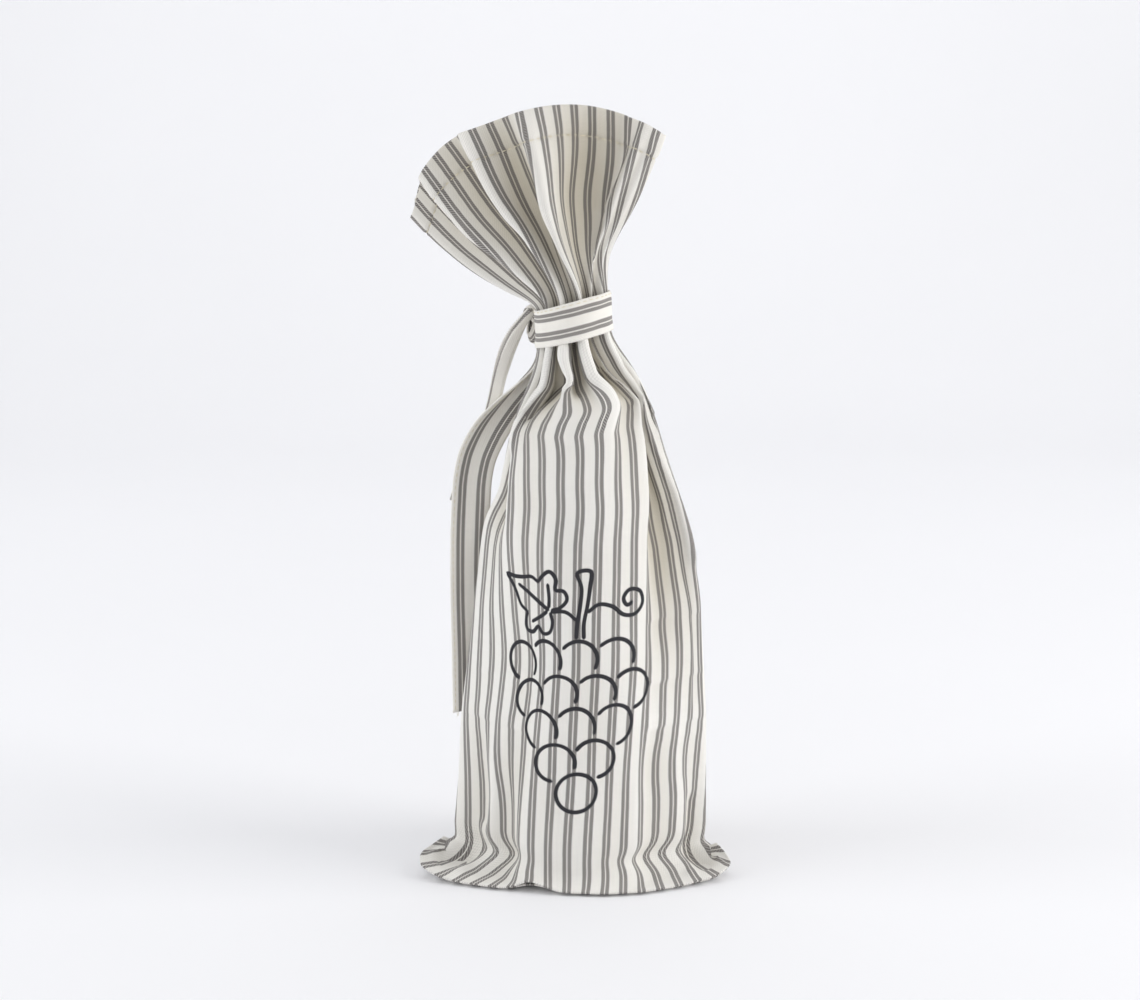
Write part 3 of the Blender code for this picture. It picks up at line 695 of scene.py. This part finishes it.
columnCount = bag["panelRepeats"] * bag["columnsPerRepeat"] + 1
frontAcross = np.linspace(bag["seamHalf"], bag["panelRepeats"] - bag["seamHalf"], columnCount)
backAcross = bag["panelRepeats"] + frontAcross
frontPanel, frontGrid, frontUps = buildPanel(
    "frontPanel", frontAcross, frontAcross, np.linspace(0, 1, 22), 1.3, frontCreases, 3)
backPanel, backGrid, backUps = buildPanel(
    "backPanel", backAcross, around - backAcross, np.linspace(0.03, 1, 44), 0.0, [], 8)
standFor(frontPanel, "front_panel")
standFor(backPanel, "back_panel")
print("panels draped")

# Tie tape: one turn round the neck, a knot at the back left and two hanging ends

tie = {
    "wide": 18.4,
    "thick": 0.8,
    "stripeShift": 0.4,  # how far the stripes lie off the tape's middle
    "bandLow": 250.2,  # level of the band's lower edge
    "standOff": 1.6,  # of the band from the neck's outline
    "bandStart": 0.86,  # where its ends meet under the knot, as a share of the way round from the left
    "bandLap": 0.03,
    "columns": 18,  # across the tape
    "foldTurn": 0.09,  # share of the tape's width that the thin end's first fold takes
    "knotAt": (-16.4, 16.3, 256.0),
    "knotTilt": 14,
    "knotFacing": 38,
}
# name, turn of its axis, half its depth and height, width of the tape in it, shift to the back
knotWraps = [("tieKnot", 0.0, 3.0, 8.4, 11.0, 0.0), ("tieKnotWrap", 0.85, 4.0, 8.2, 9.0, 0.4)]

# middle of the tape, its width and the direction of its width in plan, from the knot down
wideTailTable = np.array([
    (-14.5, 17.2, 247.6, 10, 34),
    (-13.5, 21.2, 236, 11, 34),
    (-23, 21.8, 225.5, 13, 30),
    (-35.4, 21, 212, 16.8, 22),
    (-44, 19.4, 199, 18, 16),
    (-48.4, 18, 186, 18.2, 12),
    (-49.2, 17, 171, 18.3, 12),
    (-50.3, 16.6, 150, 18.3, 14),
    (-50.4, 16.8, 125, 18.3, 14),
    (-49.8, 17.2, 98, 18.3, 12),
    (-49.6, 17.4, 70, 18.3, 10),
])
thinTailTable = np.array([
    (-19.9, 8.6, 262, 4.4, 60),
    (-24.4, 9.4, 256.5, 4.8, 50),
    (-29.6, 11, 248, 4.6, 20),
    (-34, 14.4, 236.5, 4.4, 0),
    (-37, 19.4, 224, 4.4, -20),
    (-39.4, 24.4, 212, 4.6, -10),
    (-44.6, 25.6, 198, 4.8, 0),
    (-52, 24.6, 184, 5.2, 10),
    (-56.4, 23.4, 170, 5.4, 20),
])


def tableSlices(table, count):  # the table's rows with the corners between them rounded
    last = len(table) - 1
    at = np.linspace(0, last, count)
    reach = np.minimum(0.6, np.minimum(at, last - at))
    return averaged(at, reach, np.arange(last + 1), table)


def tapeFrames(rows):  # middle, and the directions along, across and out of the face, slice by slice
    middle = rows[:, :3]
    run = unit(np.gradient(middle, axis=0))
    facing = np.radians(rows[:, 4])
    side = np.stack([np.cos(facing), np.sin(facing), 0 * facing], axis=1)
    side = unit(side - (side * run).sum(axis=1)[:, None] * run)
    return middle, run, side, np.cross(side, run)


steepness = np.linspace(0, 2.2, 221)
narrowing = np.array([np.cos(most * np.sin(np.linspace(0, 2 * math.pi, 200, endpoint=False))).mean()
                      for most in steepness])


def waveSection(share):  # a tape pushed together into one soft wave, as wide as this share of it
    place = np.linspace(0, 1, tie["columns"] + 1)
    turn = np.interp(1 - share, 1 - narrowing, steepness) * np.sin(2 * math.pi * place + 0.4)
    return place, turn


def wideSection(wide, _):
    return waveSection(min(wide / tie["wide"], 0.995))


def thinSection(_, along):  # both edges folded behind the middle, the second one outermost
    place = np.linspace(0, 1, 4 * tie["columns"] + 1)
    first, second = 0.34 + 0.02 * math.sin(9 * along), 0.66 + 0.02 * math.sin(6 * along + 2)
    heading = np.full(len(place), -math.pi)
    for at, reach in ((first, tie["foldTurn"]), (second, 1.9 * tie["foldTurn"])):
        heading += math.pi * np.clip((place - at) / reach + 0.5, 0, 1)
    return place, heading


def sectionPoints(place, turn):
    step = np.diff(place) * tie["wide"]
    middleTurn = 0.5 * (turn[1:] + turn[:-1])
    across = addedUp(np.cos(middleTurn) * step)
    out = addedUp(np.sin(middleTurn) * step)
    return across - 0.5 * (across.max() + across.min()), out - out.mean()


def tapeUv(place, length):
    return np.stack([place * tie["wide"] - tie["stripeShift"], np.full(len(place), length)], axis=1)


def addTape(name, grid, uv):
    made = addGrid(name, np.asarray(grid), np.asarray(uv), tapeCloth)
    thicken(made, tie["thick"])
    return made


def makeTail(name, table, count, sectionFor, endSlant, soft):
    slices = tableSlices(table, count)
    middle, run, side, out = tapeFrames(slices)
    lengths = runLengths(middle)
    rows, uv = [], []
    for index, long in enumerate(lengths):
        place, turn = sectionFor(slices[index, 3], index / (count - 1))
        across, high = sectionPoints(place, turn)
        high = high + soft * np.sin(long / 9.0 + 5.0 * place) * np.sin(long / 23.0)
        row = middle[index] + np.outer(across, side[index]) + np.outer(high, out[index])
        last = np.clip((long - lengths[-1]) / 12 + 1, 0, 1)
        rows.append(row + np.outer(last * endSlant * (place - 0.5), run[index]))
        uv.append(tapeUv(place, long))
    return addTape(name, rows, uv), np.array(rows), lengths[-1]


def makeBand():
    levelsUp = tie["bandLow"] + np.linspace(tie["wide"], 0, tie["columns"] + 1)
    columns = []
    for up in levelsUp:
        points, outward, along, _ = outlineAt(up)
        share = tie["bandStart"] - tie["bandLap"] + np.linspace(0, 1 + 2 * tie["bandLap"], 150)
        at = np.mod(share, 1) * along[-1]
        lap = 1.1 * np.clip((share - tie["bandStart"] - 1) / tie["bandLap"], 0, 1)
        slack = 0.25 * np.sin(at / 3.1 + 0.05 * up) + 0.18 * np.sin(at / 1.9 - 0.3 * (up - 250))
        edge = 0.35 * abs(2 * (up - tie["bandLow"]) / tie["wide"] - 1) ** 3
        column = between(at, along, points)
        column[:, :2] += (tie["standOff"] + lap + slack - edge)[:, None] * between(at, along, outward)
        columns.append(column)
    grid = np.stack(columns, axis=1)
    lengths = runLengths(grid[:, tie["columns"] // 2])
    uv = [tapeUv(np.linspace(0, 1, tie["columns"] + 1), long) for long in lengths]
    return addTape("tieBand", grid, uv), grid, lengths[-1]


def makeKnot():  # a wrap over the band's ends and a slanting one over it
    tilt, facing = math.radians(tie["knotTilt"]), math.radians(tie["knotFacing"])
    right = np.array([math.cos(facing) * math.cos(tilt), math.sin(facing) * math.cos(tilt), -math.sin(tilt)])
    back = np.array([-math.sin(facing), math.cos(facing), 0.0])
    upward = np.cross(right, back)
    wraps = []
    for name, turned, deep, tall, wide, shift in knotWraps:
        axis = math.cos(turned) * right + math.sin(turned) * upward
        high = np.cross(axis, back)
        angles = np.linspace(0, 2 * math.pi, 61)
        middle = (np.array(tie["knotAt"]) + np.outer(deep * np.cos(angles) + shift, back)
                  + np.outer(tall * np.sin(angles), high))
        outward = unit(np.outer(np.cos(angles) / deep, back) + np.outer(np.sin(angles) / tall, high))
        place, turn = waveSection(wide / tie["wide"])
        across, wave = sectionPoints(place, turn)
        rows, uv = [], []
        for index, long in enumerate(runLengths(middle)):
            out = 0.45 * wave * (1 + 0.3 * np.sin(3 * angles[index]))
            rows.append(middle[index] + np.outer(across, axis) + np.outer(out, outward[index]))
            uv.append(tapeUv(place, long))
        wraps.append(addTape(name, rows, uv))
    return wraps


tieBand, bandGrid, bandLong = makeBand()
tieKnot, tieKnotWrap = makeKnot()
tieTailWide, wideTailGrid, wideLong = makeTail("tieTailWide", wideTailTable, 121, wideSection, -2.4, 0.35)
tieTailThin, _, thinLong = makeTail("tieTailThin", thinTailTable, 91, thinSection, 0.0, 0.3)
for piece, node in ((tieBand, "tie_band"), (tieKnot, "tie_knot"), (tieKnotWrap, "tie_knot"),
                    (tieTailWide, "tie_tail_wide"), (tieTailThin, "tie_tail_thin")):
    standFor(piece, node)
print("tape tied: band", round(bandLong), "mm, tails", round(wideLong), "and", round(thinLong), "mm")

# Stitches and frayed threads

sewing = {
    "long": 2.4,
    "gap": 0.8,
    "radius": 0.2,
    "edgeColumn": 1.2,  # where a row of stitches runs along the tape, in columns from its edge
    "frays": 46,
    "frayLong": 3.4,
    "frayRadius": 0.09,
}


def onGrid(grid, rowAt, columnAt):  # points between a grid's own, by row and column numbers
    row = np.clip(np.floor(rowAt).astype(int), 0, grid.shape[0] - 2)
    column = np.clip(np.floor(columnAt).astype(int), 0, grid.shape[1] - 2)
    up, right = (rowAt - row)[:, None], (columnAt - column)[:, None]
    low = grid[row, column] * (1 - right) + grid[row, column + 1] * right
    high = grid[row + 1, column] * (1 - right) + grid[row + 1, column + 1] * right
    return low * (1 - up) + high * up


def tubeMesh(name, paths, radii, sides, look):  # a joined set of small tubes that taper at both ends
    points, faces = [], []
    angles = 2 * math.pi * np.arange(sides)[:, None] / sides
    for path, radius in zip(paths, radii):
        run = unit(np.gradient(path, axis=0))
        first = unit(np.cross(run, (0.31, 0.17, 0.93)))
        second = np.cross(run, first)
        count = len(path)
        wide = radius * np.sqrt(np.maximum(1 - np.linspace(-1, 1, count) ** 4, 0.06))
        ring = np.cos(angles) * first[:, None] + np.sin(angles) * second[:, None]
        base = len(points)
        points.extend((path[:, None] + wide[:, None, None] * ring).reshape(-1, 3))
        faces += gridFaces(count, sides, base, closed=True)
        faces += [range(base, base + sides)[::-1], range(base + (count - 1) * sides, base + count * sides)]
    return addMesh(name, points, faces, look)


def stitchRow(name, grid, rows, columns, outSign, stand, radius):  # stitches whose ends dip into the cloth
    line, outward = onGrid(grid, rows, columns), onGrid(outSign * gridNormals(grid), rows, columns)
    lengths = runLengths(line)
    chance = np.random.default_rng(5)
    share = np.linspace(0, 1, 6)
    rise = stand + 0.12 - 0.45 * (2 * share - 1) ** 4
    paths = []
    at = 1.5
    while at + sewing["long"] < lengths[-1] - 1:
        long = sewing["long"] * chance.uniform(0.88, 1.1)
        spots = at + share * long
        paths.append(between(spots, lengths, line) + between(spots, lengths, outward) * rise[:, None])
        at += long + sewing["gap"] * chance.uniform(0.8, 1.3)
    return tubeMesh(name, paths, [radius] * len(paths), 6, seamThread)


def hemStitches(name, grid, ups):
    columns = np.linspace(0, grid.shape[1] - 1, 4 * grid.shape[1])
    rows = np.full(len(columns), np.interp(bag["stitchUp"], ups, np.arange(len(ups))))
    return stitchRow(name, grid, rows, columns, 1, bag["hemThick"] / 2, sewing["radius"])


def edgeStitches(name, grid, outSign):
    rows = np.linspace(0, grid.shape[0] - 1, 3 * grid.shape[0])
    columns = np.full(len(rows), sewing["edgeColumn"])
    return stitchRow(name, grid, rows, columns, outSign, tie["thick"] / 2, 0.8 * sewing["radius"])


def frayedEnd(name, grid):
    chance = np.random.default_rng(11)
    run = unit(grid[-1] - grid[-2])
    paths, radii = [], []
    for _ in range(sewing["frays"]):
        column = chance.uniform(0.2, grid.shape[1] - 1.2)
        start = onGrid(grid, np.array([grid.shape[0] - 1.02]), np.array([column]))[0]
        way = run[int(column)] + chance.normal(0, 0.28, 3)
        bend = chance.normal(0, 0.5, 3)
        share = np.linspace(0, 1, 5)[:, None]
        long = sewing["frayLong"] * chance.uniform(0.15, 1) ** 2
        paths.append(start + long * (way * share + bend * share**2 * 0.5))
        radii.append(sewing["frayRadius"] * chance.uniform(0.7, 1.3))
    return tubeMesh(name, paths, radii, 4, seamThread)


standFor(hemStitches("frontHemStitches", frontGrid, frontUps), "front_panel")
standFor(hemStitches("backHemStitches", backGrid, backUps), "back_panel")
standFor(edgeStitches("bandStitches", bandGrid, 1), "tie_band")
standFor(edgeStitches("tailStitches", wideTailGrid, -1), "tie_tail_wide")
standFor(frayedEnd("tailFrays", wideTailGrid), "tie_tail_wide")
print("stitches sewn")

# Printed drawing: a bunch of grapes with a leaf and a tendril, as one-line brush strokes

drawing = {
    "repeat": 10.7,  # its middle, across
    "up": 92.0,  # and up the cloth
    "scale": 1.14,
    "line": 1.8,  # width of a stroke
    "ink": 0.05,  # thickness of the print
    "stand": 0.08,  # above the cloth's face
    "grape": 7.9,
    "apart": 2.0,  # between a grape's stroke and one in front of it
}
# nearest first; each grape behind stops at the ones before it
grapes = [(0.6, -40.5), (-8.4, -28.6), (7.4, -26.4), (-15.8, -15.4), (-0.6, -13.6),
          (14.6, -12.8), (-23.4, -3.4), (-8.8, -0.4), (6.6, 0.2), (21.4, 1.2),
          (-28.6, 11.2), (-15.4, 13.0), (-0.8, 14.0), (13.6, 14.4)]
twig = [(-1.6, 22.6), (-1.2, 29.0), (-0.2, 36.0), (0.2, 43.6), (-1.6, 49.4), (3.6, 50.2),
        (3.4, 43.4), (2.6, 36.0), (1.4, 29.0), (1.4, 22.6)]
tendril = [(2.6, 33.4), (7.0, 36.8), (12.4, 35.6), (17.2, 31.8), (22.4, 31.6), (25.6, 35.6),
           (24.2, 40.6), (19.6, 41.6), (17.0, 38.4), (18.8, 35.4), (21.4, 36.8)]
leafStalk = [(-1.2, 30.0), (-5.8, 33.6), (-12.0, 33.4)]
# right half of a vine leaf, from the stalk to the tip, its own length upwards
leafHalf = [(0, 0), (4.4, -3.4), (9.8, -4.4), (12.8, -0.8), (11.2, 3.4), (16.0, 5.6), (17.8, 10.6),
            (12.6, 13.2), (9.4, 14.0), (8.8, 19.0), (5.0, 24.0), (2.0, 28.6), (0, 33.0)]
leafVeins = [[(0, 1), (0.4, 11), (0, 25)], [(0.6, 1.8), (5.6, 4.2), (12.0, 8.6)],
             [(-0.6, 1.8), (-5.6, 4.2), (-12.0, 8.6)]]
leaf = {"at": (-12.0, 33.4), "turn": 62, "scale": 0.78}


def smoothStroke(points, closed=False):  # a curve through the points, a sample every millimetre or so
    points = np.array(points, dtype=float)
    ends = (points[-2], points[1]) if closed else (2 * points[0] - points[1], 2 * points[-1] - points[-2])
    padded = np.vstack([ends[0], points, ends[1]])
    samples = []
    for index in range(1, len(padded) - 2):
        before, start, end, after = padded[index - 1:index + 3]
        for share in np.arange(0, 1, 1 / max(2, int(np.linalg.norm(end - start)))):
            samples.append(0.5 * (2 * start + (end - before) * share
                                  + (2 * before - 5 * start + 4 * end - after) * share**2
                                  + (3 * start - before - 3 * end + after) * share**3))
    samples.append(padded[-2])
    return np.array(samples)


def inOutline(points, outline):  # which points lie inside a closed outline
    ahead = np.roll(outline, -1, axis=0)
    x, y = points[:, None, 0], points[:, None, 1]
    crosses = (outline[:, 1] > y) != (ahead[:, 1] > y)
    rise = np.where(ahead[:, 1] == outline[:, 1], 1e-9, ahead[:, 1] - outline[:, 1])
    at = outline[:, 0] + (y - outline[:, 1]) * ((ahead[:, 0] - outline[:, 0]) / rise)
    return (crosses & (x < at)).sum(axis=1) % 2 == 1


def grapeStrokes(middle, number, before, cover):  # a circle, open where another shape is in front
    angle = 1.1 + 0.9 * number + np.linspace(0, 2 * math.pi, 120, endpoint=False)
    radius = drawing["grape"] * (1 + 0.03 * np.sin(2 * angle + number) + 0.04 * math.sin(3.1 * number))
    circle = np.array(middle) + np.stack([radius * np.cos(angle), radius * np.sin(angle)], axis=1)
    clear = ~inOutline(circle, cover)
    for other in before:
        clear &= np.linalg.norm(circle - np.array(other), axis=1) > drawing["grape"] + drawing["apart"]
    if clear.all():
        return [np.vstack([circle, circle[:4]])]
    first = int(np.flatnonzero(~clear)[0])
    circle, clear = np.roll(circle, -first, axis=0), np.roll(clear, -first)
    ends = np.flatnonzero(np.diff(np.append(clear, False).astype(int)))
    runs = [circle[low + 1:high + 1] for low, high in zip(ends[::2], ends[1::2])]
    return [run for run in runs if len(run) > 10]


def leafStrokes():
    half = np.array(leafHalf, dtype=float)
    outline = smoothStroke(np.vstack([half, (half * (-1, 1))[-2::-1]]), closed=True)
    turn = math.radians(leaf["turn"])
    spin = np.array([(math.cos(turn), math.sin(turn)), (-math.sin(turn), math.cos(turn))])
    strokes = [outline] + [smoothStroke(vein) for vein in leafVeins]
    return [np.array(leaf["at"]) + leaf["scale"] * stroke @ spin for stroke in strokes]


def printStrokes(name, strokes):
    normals = gridNormals(frontGrid)
    rowNumbers, columnNumbers = np.arange(len(frontUps)), np.arange(len(frontAcross))
    stand = bag["thick"] / 2 + drawing["stand"]
    points, faces, uv = [], [], []
    for stroke in strokes:
        stroke = np.asarray(stroke) * drawing["scale"]
        steps = runLengths(stroke)
        even = np.linspace(0, steps[-1], max(6, int(steps[-1] / 0.8)))
        line = between(even, steps, stroke)
        run = unit(np.gradient(line, axis=0))
        side = np.stack([-run[:, 1], run[:, 0]], axis=1)
        half = 0.5 * drawing["line"] * (1 + 0.08 * np.sin(even / 5.0 + len(points)))
        fromEnd = np.minimum(even, even[-1] - even)
        half *= np.sqrt(np.clip(1 - (1 - fromEnd / half).clip(0) ** 2, 0.02, 1))
        base, count = len(points), len(line)
        for share in (-1, -0.33, 0.33, 1):
            flat = line + side * (half * share)[:, None]
            column = np.interp(drawing["repeat"] + flat[:, 0] / bag["repeat"], frontAcross, columnNumbers)
            row = np.interp(drawing["up"] + flat[:, 1], frontUps, rowNumbers)
            points.extend(onGrid(frontGrid, row, column) + stand * onGrid(normals, row, column))
            uv.extend(flat + 100)
        faces += gridFaces(4, count, base)
    made = addMesh(name, points, faces, printInk, uv)
    thicken(made, drawing["ink"], offset=-1.0)
    return made


leafDrawn = leafStrokes()
strokes = [smoothStroke(points) for points in (twig, tendril, leafStalk)] + leafDrawn
leafCentre = leafDrawn[0].mean(axis=0)
leafCover = leafCentre + 1.12 * (leafDrawn[0] - leafCentre)
for number, middle in enumerate(grapes):
    strokes += grapeStrokes(middle, number, grapes[:number], leafCover)
standFor(printStrokes("grapePrint", strokes), "front_panel")
print("drawing printed")

# Camera, light and floor

cameraSet = {"place": (-0.0027, -1.0, 0.364), "pitch": 10.7, "lens": 69.63}
cameraData = bpy.data.cameras.new("camera")
cameraData.lens = cameraSet["lens"]
cameraData.sensor_width = 36
camera = addObject("camera", cameraData)
camera.location = cameraSet["place"]
camera.rotation_euler = (math.radians(90 - cameraSet["pitch"]), 0, 0)
bpy.context.scene.camera = camera

# name, place, what it points at, size, power, tint
softboxes = [
    ("right softbox", (1.6, -0.36, 0.8), (0, 0, 0.18), (1.0, 1.3), 15, (1, 0.99, 0.98)),
    ("left softbox", (-1.6, -0.36, 0.8), (0, 0, 0.18), (1.0, 1.3), 10, (0.97, 0.985, 1)),
    ("top softbox", (0, 0.1, 1.7), (0, 0, 0.1), (1.6, 1.6), 3, (1, 1, 1)),
    ("backdrop light", (0, 0.9, 1.5), (0, 2.0, 0.5), (2.4, 0.6), 4, (0.98, 0.99, 1)),
]
for name, place, target, size, power, tint in softboxes:
    light = bpy.data.lights.new(name, "AREA")
    light.shape = "RECTANGLE"
    light.size, light.size_y = size
    light.energy = power
    light.color = tint
    softbox = addObject(name, light)
    softbox.location = place
    aim = np.array(target) - np.array(place)
    turn = math.atan2(aim[1], aim[0]) - math.pi / 2
    pitch = math.atan2(aim[2], math.hypot(aim[0], aim[1]))
    softbox.rotation_euler = (math.pi / 2 + pitch, 0, turn)

world = bpy.data.worlds.new("studio")
world.use_nodes = True
setInputs(world.node_tree, world.node_tree.nodes["Background"], {0: (0.98, 0.985, 1.0, 1), 1: 0.6})
bpy.context.scene.world = world
bpy.context.scene.view_settings.view_transform = "Standard"

studioFloor = {"front": -3000, "sweepFrom": 1200, "sweepRadius": 800, "top": 3500, "half": 4000}


def makeFloor():  # level under the bag, curving up far behind it
    look, tree, shader = newMaterial("pale floor")
    noise = addNoise(tree, addNode(tree, "ShaderNodeTexCoord").outputs["Object"], 3.0, 4.0)
    tone = mixColour(tree, noise, colour(246, 246, 248), colour(249, 249, 251))
    setInputs(tree, shader, {"Base Color": tone, "Roughness": 0.9, "Specular IOR Level": 0.1})
    start, radius = studioFloor["sweepFrom"], studioFloor["sweepRadius"]
    profile = [(studioFloor["front"], 0), (start, 0)]
    for angle in np.radians(7.5 * np.arange(1, 13)):
        profile.append((start + radius * math.sin(angle), radius - radius * math.cos(angle)))
    profile.append((start + radius, studioFloor["top"]))
    points = [(side, y, z) for y, z in profile for side in (-studioFloor["half"], studioFloor["half"])]
    addMesh("floor", points, gridFaces(len(profile), 2), look)


makeFloor()
print("camera, lights and floor set")
